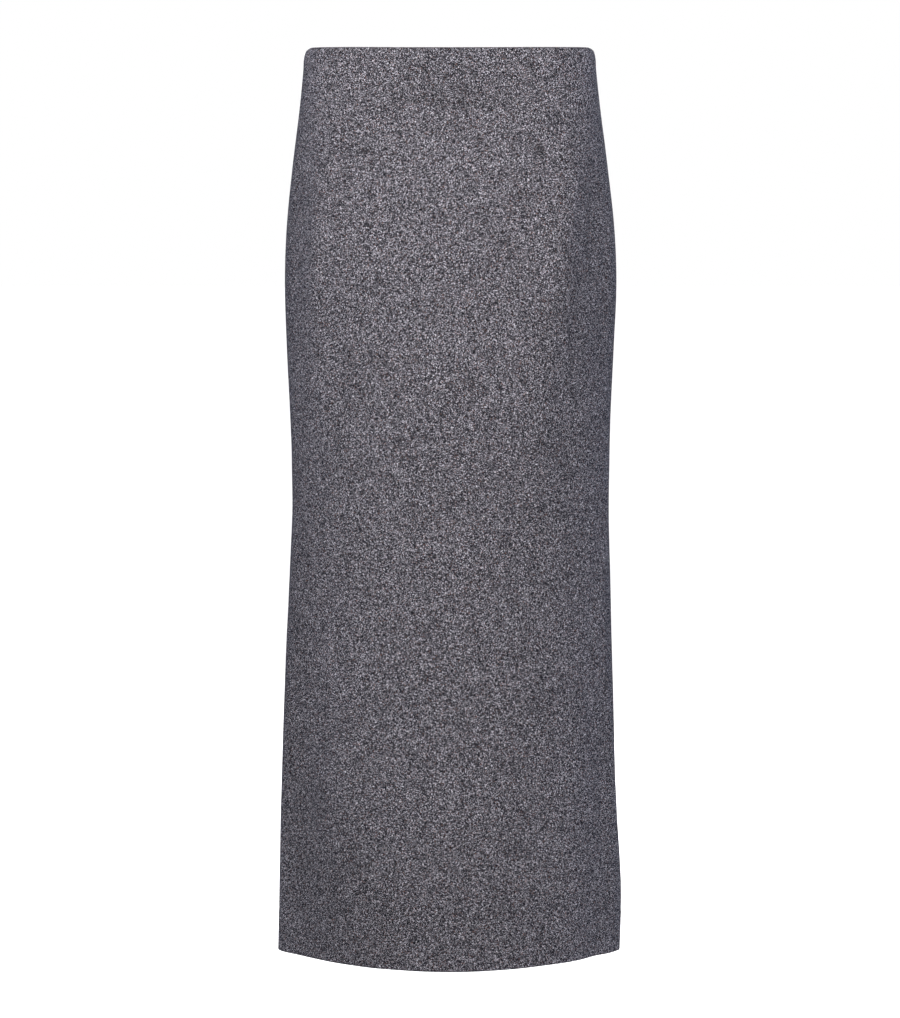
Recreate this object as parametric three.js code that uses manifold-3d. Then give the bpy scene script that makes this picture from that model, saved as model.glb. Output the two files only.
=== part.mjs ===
// A high-waisted pencil skirt, in millimetres, hollow and filled out as it is when worn.
// +Z is up, the front faces -Y, +X is the wearer's left. The origin is the middle of the waist.
// Every cloth piece is a wall worked out from one skin: a ring of the figure at each height.
import * as THREE from 'three';
import { mergeVertices } from 'three/addons/utils/BufferGeometryUtils.js';
import Module from 'manifold-3d';

const wasm = await Module();
wasm.setup();

// Driving sizes.
const LENGTH = 910;
const CLOTH = 1.8;
const SEAM_GAP = 0.3;
const HEM_TURN = 40;
const FRONT_RISE = 1.6;
const BACK_DIP = 6;
const EDGE_FADE = 110;

// Rings of the skin. left and right are half widths, front and back are depths from the side
// seams, round is 1 for an ellipse, more for a squarer ring and less for a leaf-shaped one.
const RINGS = [
  { z: 4, left: 141.0, right: 140.0, front: 78, back: 74, round: 1.3 },
  { z: -8, left: 144.9, right: 145.2, front: 79, back: 75, round: 1.3 },
  { z: -20, left: 145.8, right: 146.2, front: 81, back: 78, round: 1.29 },
  { z: -60, left: 150.3, right: 150.3, front: 88, back: 89, round: 1.26 },
  { z: -118, left: 157.8, right: 157.7, front: 97, back: 106, round: 1.2 },
  { z: -176, left: 164.7, right: 163.4, front: 103, back: 119, round: 1.12 },
  { z: -235, left: 167.2, right: 165.4, front: 106, back: 124, round: 1.04 },
  { z: -294, left: 164.8, right: 164.0, front: 107, back: 121, round: 0.94 },
  { z: -372, left: 161.5, right: 160.6, front: 106, back: 112, round: 0.8 },
  { z: -450, left: 160.3, right: 159.0, front: 103, back: 105, round: 0.66 },
  { z: -528, left: 161.9, right: 162.1, front: 101, back: 101, round: 0.56 },
  { z: -607, left: 163.9, right: 166.1, front: 100, back: 99, round: 0.48 },
  { z: -685, left: 166.3, right: 169.2, front: 100, back: 98, round: 0.42 },
  { z: -763, left: 169.1, right: 171.6, front: 101, back: 98, round: 0.38 },
  { z: -842, left: 173.6, right: 173.6, front: 103, back: 99, round: 0.35 },
  { z: -914, left: 173.6, right: 175.4, front: 104, back: 100, round: 0.33 },
];

// Darts, sewn down from the waist. around is the angle round the skirt, 0 at the centre front,
// 90 at the wearer's left side seam and 180 at the centre back.
const DARTS = [
  { around: 33.3, length: 104, groove: 0.9 },
  { around: -33.3, length: 104, groove: 0.9 },
  { around: 150, length: 132, groove: 0.9 },
  { around: -150, length: 132, groove: 0.9 },
];
const DART_SPREAD = 1.7;

// Soft folds and hollows. depth is out from the skin, below zero for a hollow; wide is an angle
// and tall a length, both to where the fold has faded to a third.
const FOLDS = [
  { around: 61, z: -235, wide: 9, tall: 105, depth: -3.2 },
  { around: 78, z: -250, wide: 8, tall: 170, depth: 1.6 },
  { around: -66, z: -170, wide: 8, tall: 60, depth: -1.8 },
  { around: -58, z: -640, wide: 11, tall: 190, depth: -2.4 },
  { around: 44, z: -900, wide: 8, tall: 120, depth: 1.2 },
  { around: 60, z: -915, wide: 8, tall: 110, depth: -2.8 },
  { around: 20, z: -560, wide: 14, tall: 150, depth: -1.6 },
  { around: 138, z: -330, wide: 12, tall: 70, depth: -2.6 },
  { around: -143, z: -352, wide: 13, tall: 60, depth: -3 },
  { around: 160, z: -430, wide: 12, tall: 90, depth: 1.8 },
  { around: 118, z: -820, wide: 9, tall: 150, depth: -3.4 },
  { around: -125, z: -780, wide: 10, tall: 170, depth: -2.8 },
];

// The grid that each wall is built on.
const COLUMN_STEP = 6;
const ROW_STEP = 26;
const EDGE_ROWS = [0, -4, -10];
const HEM_STEP = 0.6;

// The back vent: the left back laps over an underlap that is sewn to the right back.
const VENT = { height: 250, under: 40, behind: 30, clear: 3, lift: 3.2, lift_wide: 17 };
const UNDERLAP_IN = { top: 2.2, hem: 4.1, settle: 60 };

// The zip in the centre back seam, closed, with its slider at the top.
const TAPE = { width: 25, thick: 0.8, top: -12, bottom: -215 };
const SLIDER = {
  z: -19, body_w: 8, body_h: 11, body_d: 2.8, neck_w: 1.8, neck_h: 8,
  cap_w: 5.6, cap_h: 10.5, cap_low: 0.4, cap_high: 1.3,
  bail_w: 1.7, bail_half: 3.2, bail_high: 4.3, eye_half: 2.1, eye_low: 1.3, eye_high: 3.25,
};
const PULL = {
  out: 2.28, thick: 1, bar: 0.6, window_half: 1.75, window_long: 4.6,
  top_half: 3.1, tip_half: 2.4, shoulder: 3.6, long: 22,
};
const CLEAR = 0.3;

const materials = {
  tweed: new THREE.MeshStandardMaterial({ color: 0x68656c, roughness: 0.95, metalness: 0 }),
  tape: new THREE.MeshStandardMaterial({ color: 0x3d3b42, roughness: 0.85, metalness: 0 }),
  metal: new THREE.MeshStandardMaterial({ color: 0x55545a, roughness: 0.35, metalness: 0.9 }),
};

const toRadians = THREE.MathUtils.degToRad;
const toDegrees = THREE.MathUtils.radToDeg;

// One column of RINGS at a height: a smooth cubic between rows, with slopes from the neighbours.
function ring(column, z) {
  const last = RINGS.length - 1;
  let i = RINGS.findIndex((row) => row.z < z) - 1;
  i = i < 0 ? (z > RINGS[0].z ? 0 : last - 1) : i;
  const slope = (n) => {
    const up = RINGS[Math.max(n - 1, 0)];
    const down = RINGS[Math.min(n + 1, last)];
    return (down[column] - up[column]) / (down.z - up.z);
  };
  const step = RINGS[i + 1].z - RINGS[i].z;
  const t = (z - RINGS[i].z) / step;
  const from = RINGS[i][column] * (2 * t ** 3 - 3 * t ** 2 + 1);
  const to = RINGS[i + 1][column] * (3 * t ** 2 - 2 * t ** 3);
  const leave = slope(i) * step * (t ** 3 - 2 * t ** 2 + t);
  const reach = slope(i + 1) * step * (t ** 3 - t ** 2);
  return from + to + leave + reach;
}

// The skin at an angle round the skirt and a height, with no folds and no seam gaps.
function skin(around, z) {
  const angle = toRadians(around);
  const c = Math.cos(angle);
  const half = ring(around > 0 ? 'left' : 'right', z);
  const depth = ring(c > 0 ? 'front' : 'back', z);
  const round = ring('round', z);
  const y = -Math.sign(c) * depth * (round * Math.abs(c) + (1 - round) * c * c);
  return new THREE.Vector3(half * Math.sin(angle), y, z);
}

// The way out of the cloth, from small steps along the skin both ways.
function outward(around, z) {
  const turn = 0.05;
  const drop = 0.5;
  const along = skin(around + turn, z).sub(skin(around - turn, z));
  const down = skin(around, z - drop).sub(skin(around, z + drop));
  return down.cross(along).normalize();
}

const bell = (distance, spread) => Math.exp(-((distance / spread) ** 2));

// How far the cloth stands out from the skin: folds, dart grooves and the lifted vent edge.
function relief(around, z) {
  let out = 0;
  for (const fold of FOLDS) {
    out += fold.depth * bell(around - fold.around, fold.wide) * bell(z - fold.z, fold.tall);
  }
  for (const dart of DARTS) {
    const left = Math.max(0, 1 + z / dart.length);
    out -= dart.groove * Math.sqrt(left) * bell(around - dart.around, DART_SPREAD * 0.8);
  }
  if (around > 90) {
    const low = THREE.MathUtils.smoothstep(-z, LENGTH - VENT.height, LENGTH);
    out += VENT.lift * low * bell(180 - around, VENT.lift_wide);
  }
  return out;
}

// The waist edge rises a little beside the centre front and dips at the centre back.
function waistShift(around, z) {
  const fade = Math.max(0, 1 + z / EDGE_FADE) ** 2;
  const c = Math.cos(toRadians(around));
  const rise = FRONT_RISE * Math.sin(toRadians(2 * around)) ** 2;
  return fade * (c > 0 ? rise : -BACK_DIP * c * c);
}

// A closed wall over a grid. place gives the cloth's surface point and the way out of it;
// outer and inner are the depths of the wall's two faces under that point.
function wall(columns, rows, place, outer, inner) {
  const width = columns.length;
  const points = [];
  for (const depth of [outer, inner]) {
    for (const row of rows) {
      for (const column of columns) {
        const at = place(column, row);
        points.push(...at.point.addScaledVector(at.normal, -depth(row)).toArray());
      }
    }
  }
  const out = (r, c) => r * width + c;
  const back = (r, c) => (rows.length + r) * width + c;
  const faces = [];
  const quad = (a, b, c, d) => faces.push(a, b, c, a, c, d);
  const lastRow = rows.length - 1;
  const lastColumn = width - 1;
  for (let r = 0; r < lastRow; r += 1) {
    for (let c = 0; c < lastColumn; c += 1) {
      quad(out(r, c), out(r + 1, c), out(r + 1, c + 1), out(r, c + 1));
      quad(back(r, c), back(r, c + 1), back(r + 1, c + 1), back(r + 1, c));
    }
    quad(out(r, 0), back(r, 0), back(r + 1, 0), out(r + 1, 0));
    quad(out(r + 1, lastColumn), back(r + 1, lastColumn), back(r, lastColumn), out(r, lastColumn));
  }
  for (let c = 0; c < lastColumn; c += 1) {
    quad(out(0, c), out(0, c + 1), back(0, c + 1), back(0, c));
    quad(out(lastRow, c + 1), out(lastRow, c), back(lastRow, c), back(lastRow, c + 1));
  }
  const geometry = new THREE.BufferGeometry();
  geometry.setAttribute('position', new THREE.Float32BufferAttribute(points, 3));
  geometry.setIndex(faces);
  return geometry;
}

// The rows of a panel: fine at the waist edge, even down to the hem, and a step at its turning.
function panelRows() {
  const turn = HEM_TURN - LENGTH;
  const count = Math.round((-turn + EDGE_ROWS.at(-1)) / ROW_STEP);
  const even = Array.from({ length: count - 1 }, (_, i) => {
    return THREE.MathUtils.lerp(EDGE_ROWS.at(-1), turn, (i + 1) / count);
  });
  const hem = [turn + HEM_STEP, turn, turn - HEM_TURN / 2, -LENGTH];
  return [...EDGE_ROWS, ...even, ...hem];
}

// The columns of a panel: even steps, and three close ones down each dart.
function panelColumns(from, to) {
  const count = Math.round((to - from) / COLUMN_STEP);
  const even = Array.from({ length: count + 1 }, (_, i) => from + (to - from) * (i / count));
  const darts = DARTS.filter((dart) => dart.around > from && dart.around < to);
  const close = darts.flatMap((dart) => [-DART_SPREAD, 0, DART_SPREAD].map((d) => dart.around + d));
  const kept = even.filter((a) => close.every((b) => Math.abs(a - b) > 0.5));
  return [...kept, ...close].sort((a, b) => a - b);
}

// A panel of the skirt between two angles, parted from its neighbours by half a seam gap.
// The turned hem doubles the cloth inside.
function panel(from, to) {
  const place = (around, row) => {
    const z = row + waistShift(around, row);
    const normal = outward(around, z);
    const point = skin(around, z).addScaledVector(normal, relief(around, z));
    const c = Math.cos(toRadians(around));
    const isBack = (from + to) / 2 > 90 || (from + to) / 2 < -90;
    point.y += (isBack ? 1 : -1) * (SEAM_GAP / 2);
    point.x += isBack ? Math.sign(from + to) * (SEAM_GAP / 2) * Math.max(0, -c) : 0;
    return { point, normal };
  };
  const inner = (row) => (row > HEM_TURN - LENGTH + HEM_STEP / 2 ? CLOTH : 2 * CLOTH);
  return wall(panelColumns(from, to), panelRows(), place, () => 0, inner);
}

// A strip inside the back, between two distances from the centre back seam.
function backStrip(from, to, top, bottom, steps, outer, thick) {
  const lerp = THREE.MathUtils.lerp;
  const columns = Array.from({ length: steps.across + 1 }, (_, i) => {
    return lerp(to, from, i / steps.across);
  });
  const rows = Array.from({ length: steps.down + 1 }, (_, i) => {
    return lerp(top, bottom, i / steps.down);
  });
  const place = (x, z) => {
    const half = ring('left', z);
    const bent = 180 - toDegrees(Math.asin(x / half));
    const around = bent > 180 ? bent - 360 : bent;
    const normal = outward(Math.abs(around) === 180 ? 179.99 : around, z);
    const point = skin(around, z);
    point.x = x;
    return { point, normal };
  };
  return wall(columns, rows, place, outer, (z) => outer(z) + thick);
}

function solidOf(geometry) {
  const bare = geometry.clone();
  bare.deleteAttribute('normal');
  bare.deleteAttribute('uv');
  const merged = mergeVertices(bare, 1e-4);
  return new wasm.Manifold(new wasm.Mesh({
    numProp: 3,
    vertProperties: new Float32Array(merged.attributes.position.array),
    triVerts: new Uint32Array(merged.index.array),
  }));
}

function geometryOf(solid) {
  const mesh = solid.getMesh();
  const geometry = new THREE.BufferGeometry();
  geometry.setAttribute('position', new THREE.Float32BufferAttribute(mesh.vertProperties, 3));
  geometry.setIndex(Array.from(mesh.triVerts));
  return geometry;
}

function box(w, d, h, x, y, z) {
  return new THREE.BoxGeometry(w, d, h).translate(x, y, z);
}

// A plate cut from a shape drawn in X and Z, from one depth out of the cloth to another.
function plate(shape, low, high) {
  const geometry = new THREE.ExtrudeGeometry(shape, {
    depth: high - low, bevelEnabled: false, curveSegments: 6,
  });
  return geometry.rotateX(Math.PI / 2).translate(0, high, 0);
}

// A shape with round ends, half as wide at its top and tip as the two sizes given.
function tongue(top, tip, high, low) {
  const shape = new THREE.Shape();
  shape.absarc(0, high - top, top, 0, Math.PI, false);
  shape.absarc(0, low + tip, tip, Math.PI, 2 * Math.PI, false);
  shape.closePath();
  return shape;
}

// The slider: a body behind the tape, a neck up through the seam, a cap and a bail over it.
function sliderGeometry() {
  const s = SLIDER;
  const inside = CLOTH + CLEAR + TAPE.thick + CLEAR;
  const body = plate(tongue(s.body_w / 2, s.body_w / 2.6, s.body_h / 2, -s.body_h / 2),
    -inside - s.body_d, -inside);
  const neckDeep = inside + s.cap_high - 0.2;
  const neck = box(s.neck_w, neckDeep, s.neck_h, 0, s.cap_high - 0.2 - neckDeep / 2 - 0.2, 0);
  const cap = plate(tongue(s.cap_w / 2, s.cap_w / 2.5, s.cap_h / 2, -s.cap_h / 2),
    s.cap_low, s.cap_high);
  const arch = new THREE.Shape();
  arch.moveTo(-s.bail_half, s.cap_high - 0.2);
  arch.lineTo(s.bail_half, s.cap_high - 0.2);
  arch.lineTo(s.bail_half, s.eye_high);
  arch.quadraticCurveTo(s.bail_half, s.bail_high, s.eye_half, s.bail_high);
  arch.lineTo(-s.eye_half, s.bail_high);
  arch.quadraticCurveTo(-s.bail_half, s.bail_high, -s.bail_half, s.eye_high);
  const eye = new THREE.Path();
  eye.moveTo(-s.eye_half, s.eye_low);
  eye.lineTo(-s.eye_half, s.eye_high);
  eye.lineTo(s.eye_half, s.eye_high);
  eye.lineTo(s.eye_half, s.eye_low);
  arch.holes.push(eye);
  const turned = new THREE.Matrix4().makeBasis(
    new THREE.Vector3(0, 0, 1), new THREE.Vector3(0, 1, 0), new THREE.Vector3(-1, 0, 0));
  const bail = new THREE.ExtrudeGeometry(arch, {
    depth: s.bail_w, bevelEnabled: false, curveSegments: 4,
  }).translate(0, 0, -s.bail_w / 2).applyMatrix4(turned);
  const parts = [body, neck, cap, bail].map(solidOf);
  return geometryOf(parts.reduce((all, part) => all.add(part)));
}

// The pull: a flat tab whose top bar lies under the slider's bail, drawn about that bar.
function pullGeometry() {
  const p = PULL;
  const tab = new THREE.Shape();
  tab.moveTo(-p.top_half, p.bar);
  tab.lineTo(-p.top_half, -p.shoulder);
  tab.absarc(0, p.bar - p.long + p.tip_half, p.tip_half, Math.PI, 2 * Math.PI, false);
  tab.lineTo(p.top_half, -p.shoulder);
  tab.lineTo(p.top_half, p.bar);
  tab.closePath();
  const window = new THREE.Path();
  window.moveTo(-p.window_half, -p.bar);
  window.lineTo(-p.window_half, -p.bar - p.window_long);
  window.lineTo(p.window_half, -p.bar - p.window_long);
  window.lineTo(p.window_half, -p.bar);
  window.closePath();
  tab.holes.push(window);
  return plate(tab, -p.thick / 2, p.thick / 2);
}

// Where the slider sits: on the cloth at the centre back, leaning as the cloth leans.
const seat = new THREE.Group();
const seatNormal = outward(179.99, SLIDER.z);
seat.position.copy(skin(179.99, SLIDER.z)).setX(0);
seat.rotation.x = Math.atan2(seatNormal.z, seatNormal.y);
seat.updateMatrix();

// The slot that the slider's neck needs in the seam and the tape.
const slotDeep = 2 * (CLOTH + TAPE.thick + 2);
const slot = solidOf(box(SLIDER.neck_w + 2 * CLEAR, slotDeep, SLIDER.neck_h + 2 * CLEAR, 0, 0, 0)
  .applyMatrix4(seat.matrix));

function mesh(name, geometry, material) {
  const made = new THREE.Mesh(geometry, material);
  made.name = name;
  return made;
}

const group = new THREE.Group();
const leftBack = solidOf(panel(90, 180)).subtract(slot);
const rightBack = solidOf(panel(-180, -90)).subtract(slot);
group.add(mesh('front_panel', panel(-90, 90), materials.tweed));
group.add(mesh('back_panel_left', geometryOf(leftBack), materials.tweed));
group.add(mesh('back_panel_right', geometryOf(rightBack), materials.tweed));

const underlap = backStrip(-VENT.behind, VENT.under, VENT.height - LENGTH, VENT.clear - LENGTH,
  { across: 7, down: 10 }, (z) => {
    const low = THREE.MathUtils.smoothstep(-z, LENGTH - VENT.height, LENGTH - UNDERLAP_IN.settle);
    return THREE.MathUtils.lerp(UNDERLAP_IN.top, UNDERLAP_IN.hem, low);
  }, CLOTH);
group.add(mesh('vent_underlap', underlap, materials.tweed));

const tape = solidOf(backStrip(-TAPE.width / 2, TAPE.width / 2, TAPE.top, TAPE.bottom,
  { across: 4, down: 14 }, () => CLOTH + CLEAR, TAPE.thick)).subtract(slot);
group.add(mesh('zip_tape', geometryOf(tape), materials.tape));

const pull = mesh('zip_pull', pullGeometry(), materials.metal);
pull.position.y = PULL.out;
seat.add(mesh('zip_slider', sliderGeometry(), materials.metal), pull);
group.add(seat);

export default group;
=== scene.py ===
"""A high-waisted pencil skirt in salt-and-pepper tweed, filled out as it is when worn.

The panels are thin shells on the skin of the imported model: a ring of the figure at each height.
+Z is up, the front faces -Y and +X is the wearer's left. Tables are in millimetres and degrees.
"""
import math

import bpy
import numpy as np
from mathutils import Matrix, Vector


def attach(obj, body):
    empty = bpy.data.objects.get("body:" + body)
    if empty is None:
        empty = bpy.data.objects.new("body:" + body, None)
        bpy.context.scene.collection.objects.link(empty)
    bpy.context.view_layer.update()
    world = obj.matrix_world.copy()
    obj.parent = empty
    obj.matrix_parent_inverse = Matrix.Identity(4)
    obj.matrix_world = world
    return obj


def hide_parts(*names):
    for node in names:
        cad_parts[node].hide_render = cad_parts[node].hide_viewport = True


bl_info = {
    "name": "Tweed pencil skirt",
    "version": (1, 0, 0),
    "blender": (4, 5, 0),
    "location": "3D View > Sidebar > Skirt",
    "description": "Builds the panels, darts, zip, stitching and cloth of a pencil skirt",
    "category": "Object",
}

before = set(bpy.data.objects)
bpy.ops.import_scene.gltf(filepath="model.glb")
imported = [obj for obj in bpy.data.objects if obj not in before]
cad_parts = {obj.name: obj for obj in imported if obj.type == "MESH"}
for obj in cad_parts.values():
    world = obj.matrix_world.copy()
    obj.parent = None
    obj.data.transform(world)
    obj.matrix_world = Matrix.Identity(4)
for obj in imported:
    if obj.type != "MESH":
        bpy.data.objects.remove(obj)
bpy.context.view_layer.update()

MM = 0.001
SKIRT_BODY = "skirt"

# The cut, in millimetres.
LENGTH = 910.0
SEAM_GAP = 0.06
HEM_TURN = 40.0
SIDE_RISE = 1.9
CORNER_DROP = 2.6
HEM_LIFT = 0.8
BACK_DIP = 6.0
EDGE_FADE = 110.0

# Rings of the skin: height, half widths to the wearer's left and right, depths in front of and
# behind the side seams, and how round the ring is (1 an ellipse, less a leaf, more a box).
RING_COLUMNS = [(name, float) for name in ("z", "left", "right", "front", "back", "round")]
RINGS = np.array([
    (4, 141.0, 140.8, 78, 74, 1.30),
    (-8, 144.3, 145.1, 79, 75, 1.30),
    (-20, 145.0, 145.9, 81, 78, 1.29),
    (-60, 149.4, 149.8, 88, 89, 1.26),
    (-118, 157.2, 157.2, 97, 106, 1.20),
    (-176, 163.8, 162.9, 103, 119, 1.12),
    (-235, 166.4, 165.3, 106, 124, 1.04),
    (-294, 163.9, 163.6, 107, 121, 0.94),
    (-372, 160.7, 160.2, 106, 112, 0.80),
    (-450, 159.5, 158.4, 103, 105, 0.66),
    (-528, 161.6, 161.7, 101, 101, 0.56),
    (-607, 163.7, 165.8, 100, 99, 0.48),
    (-685, 166.0, 169.1, 100, 98, 0.42),
    (-763, 169.1, 171.4, 101, 98, 0.38),
    (-842, 173.9, 173.3, 103, 99, 0.35),
    (-914, 172.4, 175.3, 104, 100, 0.33),
], dtype=RING_COLUMNS)

# Darts, sewn down from the waist at an angle round the skirt: 0 is the centre front, 90 the
# wearer's left side seam and 180 the centre back.
DART_COLUMNS = [(name, float) for name in ("around", "length", "dimple")]
DARTS = np.array([
    (33.3, 104, 1.5),
    (-33.3, 104, 1.6),
    (150.0, 132, 1.3),
    (-150.0, 132, 1.4),
], dtype=DART_COLUMNS)
DIMPLE = {"wide": 3.2, "tall": 4.5}

# The largest folds and hollows, out from the skin, faded to a third at wide and tall.
FOLD_COLUMNS = [(name, float) for name in ("around", "z", "wide", "tall", "depth")]
FOLDS = np.array([
    (64, -240, 11, 115, -4.6),
    (-70, -230, 10, 160, -3.0),
    (-62, -800, 14, 150, -4.6),
    (66, -700, 10, 110, -3.0),
    (-66, -170, 8, 60, -1.8),
    (-58, -640, 11, 190, -2.4),
    (44, -900, 8, 120, 1.2),
    (60, -915, 8, 110, -2.8),
    (20, -560, 14, 150, -1.6),
    (138, -330, 12, 70, -2.6),
    (-143, -352, 13, 60, -3.0),
    (160, -430, 12, 90, 1.8),
    (118, -820, 9, 150, -3.4),
    (-125, -780, 10, 170, -2.8),
], dtype=FOLD_COLUMNS)

# Small creases: tilt is from upright, long and wide are millimetres on the cloth.
# Each bends a little along its length and has a lower ridge beside it.
CREASE_COLUMNS = [(n, float) for n in ("around", "z", "tilt", "long", "wide", "depth")]
CREASES = np.array([
    (-12, -128, 62, 40, 9, -0.5),
    (8, -182, -70, 46, 11, -0.45),
    (26, -205, 58, 38, 10, -0.5),
    (-38, -236, -64, 52, 12, -0.55),
    (46, -165, 17, 85, 19, 2.7),
    (35, -320, 4, 120, 20, 2.0),
    (-54, -230, 0, 150, 12, 1.8),
    (-36, -790, -6, 150, 16, 2.2),
    (52, -150, 14, 60, 7, -0.8),
    (70, -210, 6, 85, 6, -0.9),
    (-74, -150, 4, 40, 5, -1.0),
    (-50, -330, -22, 70, 10, -0.6),
    (45, -395, 18, 75, 12, -0.6),
    (-22, -470, -36, 60, 13, -0.5),
    (10, -640, 24, 85, 14, -0.5),
    (62, -560, 10, 120, 9, -1.0),
    (74, -610, -4, 110, 7, 0.8),
    (-70, -700, 7, 120, 9, -0.8),
    (-30, -790, -12, 90, 13, -0.5),
    (34, -800, 9, 100, 12, -0.5),
    (66, -820, -6, 80, 6, -0.7),
    (128, -150, 30, 50, 9, -0.8),
    (-132, -170, -34, 46, 9, -0.8),
    (105, -230, 8, 90, 8, -0.9),
    (-104, -260, -6, 95, 8, -0.9),
    (150, -300, 68, 55, 11, -1.0),
    (-158, -318, -66, 60, 12, -1.1),
    (165, -385, 58, 45, 10, -0.7),
    (-166, -405, -60, 50, 11, -0.8),
    (140, -560, 20, 100, 12, -0.8),
    (-146, -600, -16, 110, 12, -0.8),
    (-100, -520, 5, 120, 8, -0.8),
    (98, -640, -5, 130, 9, -0.9),
    (158, -760, -10, 80, 10, -0.7),
    (-162, -820, 12, 70, 10, -0.7),
    (-112, -880, 4, 60, 8, -0.8),
], dtype=CREASE_COLUMNS)
CREASE_BEND = 0.12
CREASE_BESIDE = {"share": 0.45, "away": 1.6}

# About how much cloth lies in one degree round the skirt.
MM_PER_DEGREE = 2.6

# Painted shade and painted highlights on the cloth, in place of the shadows at the darts' points,
# in hollows and on the sides turned from the light: darker where dark is positive, lighter where
# it is negative. Wide and tall are millimetres on the cloth.
MARK_COLUMNS = [(name, float) for name in ("around", "z", "wide", "tall", "dark")]
PAINTED_SHADE_AND_LIGHT = np.array([
    (34.6, -100, 4.4, 5.5, 0.60),
    (-32.0, -100, 6.0, 5.2, 0.54),
    (32.9, -19, 3.8, 7, 0.46),
    (33.0, -75, 1.8, 20, 0.14),
    (-33.3, -84, 1.8, 12, 0.12),
    (2, -50, 52, 16, 0.13),
    (0, -20, 60, 24, 0.15),
    (8, -55, 30, 7, 0.18),
    (-13, -51, 26, 4, 0.13),
    (-13, -57.5, 24, 2.4, -0.14),
    (-30, -53, 24, 10, 0.13),
    (24, -48, 16, 6, 0.14),
    (44, -66.5, 20, 3.2, 0.12),
    (44, -58, 19, 2.6, -0.24),
    (-21, -146, 3.0, 28, 0.14),
    (-27, -120, 14, 8, 0.10),
    (60, -165, 20, 75, 0.12),
    (47, -250, 24, 65, 0.12),
    (42, -400, 26, 110, 0.12),
    (70, -230, 30, 160, 0.08),
    (-80, -170, 16, 130, 0.10),
    (-62, -815, 50, 150, 0.17),
    (-84, -600, 26, 180, 0.16),
    (-68, -600, 32, 170, 0.14),
    (-36, -850, 62, 90, 0.16),
    (0, -865, 80, 60, 0.10),
    (-72, -20, 40, 40, -0.11),
    (72, -20, 40, 40, -0.13),
    (31, -650, 18, 14, 0.18),
    (76, -640, 22, 90, 0.12),
    (70, -830, 34, 60, 0.08),
    (-18, -200, 24, 60, -0.05),
    (22, -330, 30, 60, -0.05),
    (150, -132, 4.2, 4.6, 0.42),
    (-150, -132, 3.8, 4.4, 0.45),
    (150, -98, 1.8, 24, 0.12),
    (-150, -100, 1.8, 22, 0.12),
    (122, -260, 26, 120, 0.10),
    (-118, -300, 28, 130, 0.09),
    (140, -760, 34, 110, 0.10),
    (-134, -700, 30, 120, 0.10),
], dtype=MARK_COLUMNS)

# Painted shade along the seams and at the turned edges, where the cloth turns in.
EDGE_SHADE = {"seam": 0.42, "turned": 0.22, "wide": 1.4}

# The facing inside the waist, which shows only as a faint step in the cloth above its edge.
FACING = {"z": -57.0, "slope": 2.5, "lift": 0.8, "from": -40.0, "to": 72.0, "fade": 9.0}
SEAM_ROLL = {"deep": 0.9, "wide": 1.5, "press": 6.0, "ridge": 0.35}
DART_SEAM = {"deep": 0.75, "wide": 0.8, "ridge": 0.3, "spread": 3.2}
HEM_LINE = {"ridge": 0.22, "wide": 2.4}

# The back vent, and how far its underlap lies inside the back.
VENT = {"height": 250.0, "under": 40.0, "behind": 30.0, "clear": 3.0, "lift": 3.2,
        "lift_wide": 17.0}
UNDERLAP_IN = {"top": 2.2, "hem": 4.1, "settle": 60.0}

# The zip in the centre back seam, its teeth and the sewing that holds it.
TAPE = {"width": 25.0, "thick": 0.8, "clear": 0.3, "top": -12.0, "bottom": -215.0}
COIL = {"top": -26.5, "bottom": -207.0, "pitch": 1.05, "past": 0.35, "reach": 2.1, "high": 1.0,
        "wire": 0.21}
ZIP_SEWING = {"aside": 7.5, "top": -3.0, "low": -217.0, "point": -223.0}

# The stage, in metres, and its light's colours.
FLOOR_SIDE = 30.0
WARM_WHITE = (1.0, 0.985, 0.985)
COOL_BLUE = (0.52, 0.66, 1.0)

# Thread over the raw edges inside.
OVERCAST = {"pitch": 2.6, "inset": 0.5, "lift": 0.2, "step": 1.3, "wide": 2.2}


class SkirtSizes(bpy.types.PropertyGroup):
    """Sizes of the cloth and its sewing."""

    cloth: bpy.props.FloatProperty(
        name="Cloth", description="Thickness of the tweed", default=1.8 * MM,
        unit="LENGTH", precision=4)
    panel_columns: bpy.props.IntProperty(
        name="Columns", description="Grid columns across the front panel", default=150)
    row_step: bpy.props.FloatProperty(
        name="Row step", description="Height of a grid row", default=3.6 * MM,
        unit="LENGTH", precision=4)
    stitch: bpy.props.FloatProperty(
        name="Stitch", description="Length of one stitch", default=2.6 * MM,
        unit="LENGTH", precision=4)
    thread: bpy.props.FloatProperty(
        name="Thread", description="Radius of the sewing thread", default=0.17 * MM,
        unit="LENGTH", precision=5)


class TweedLook(bpy.types.PropertyGroup):
    """Colours and scale of the tweed."""

    yarn: bpy.props.FloatProperty(
        name="Yarn", description="Spacing of the yarns", default=0.47 * MM,
        unit="LENGTH", precision=5)
    dark: bpy.props.FloatVectorProperty(
        name="Dark wool", description="Darkest wool in the yarn", subtype="COLOR",
        default=(0.003, 0.003, 0.007))
    middle: bpy.props.FloatVectorProperty(
        name="Middle wool", description="Most common wool", subtype="COLOR",
        default=(0.102, 0.096, 0.123))
    light: bpy.props.FloatVectorProperty(
        name="Light wool", description="Lightest flecks", subtype="COLOR",
        default=(0.9, 0.875, 0.97))
    rust: bpy.props.FloatVectorProperty(
        name="Rust fleck", description="Rare warm flecks", subtype="COLOR",
        default=(0.42, 0.2, 0.14))
    rust_share: bpy.props.FloatProperty(
        name="Rust share", description="Share of warm flecks", default=0.013,
        subtype="FACTOR", min=0, max=1)


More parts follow.
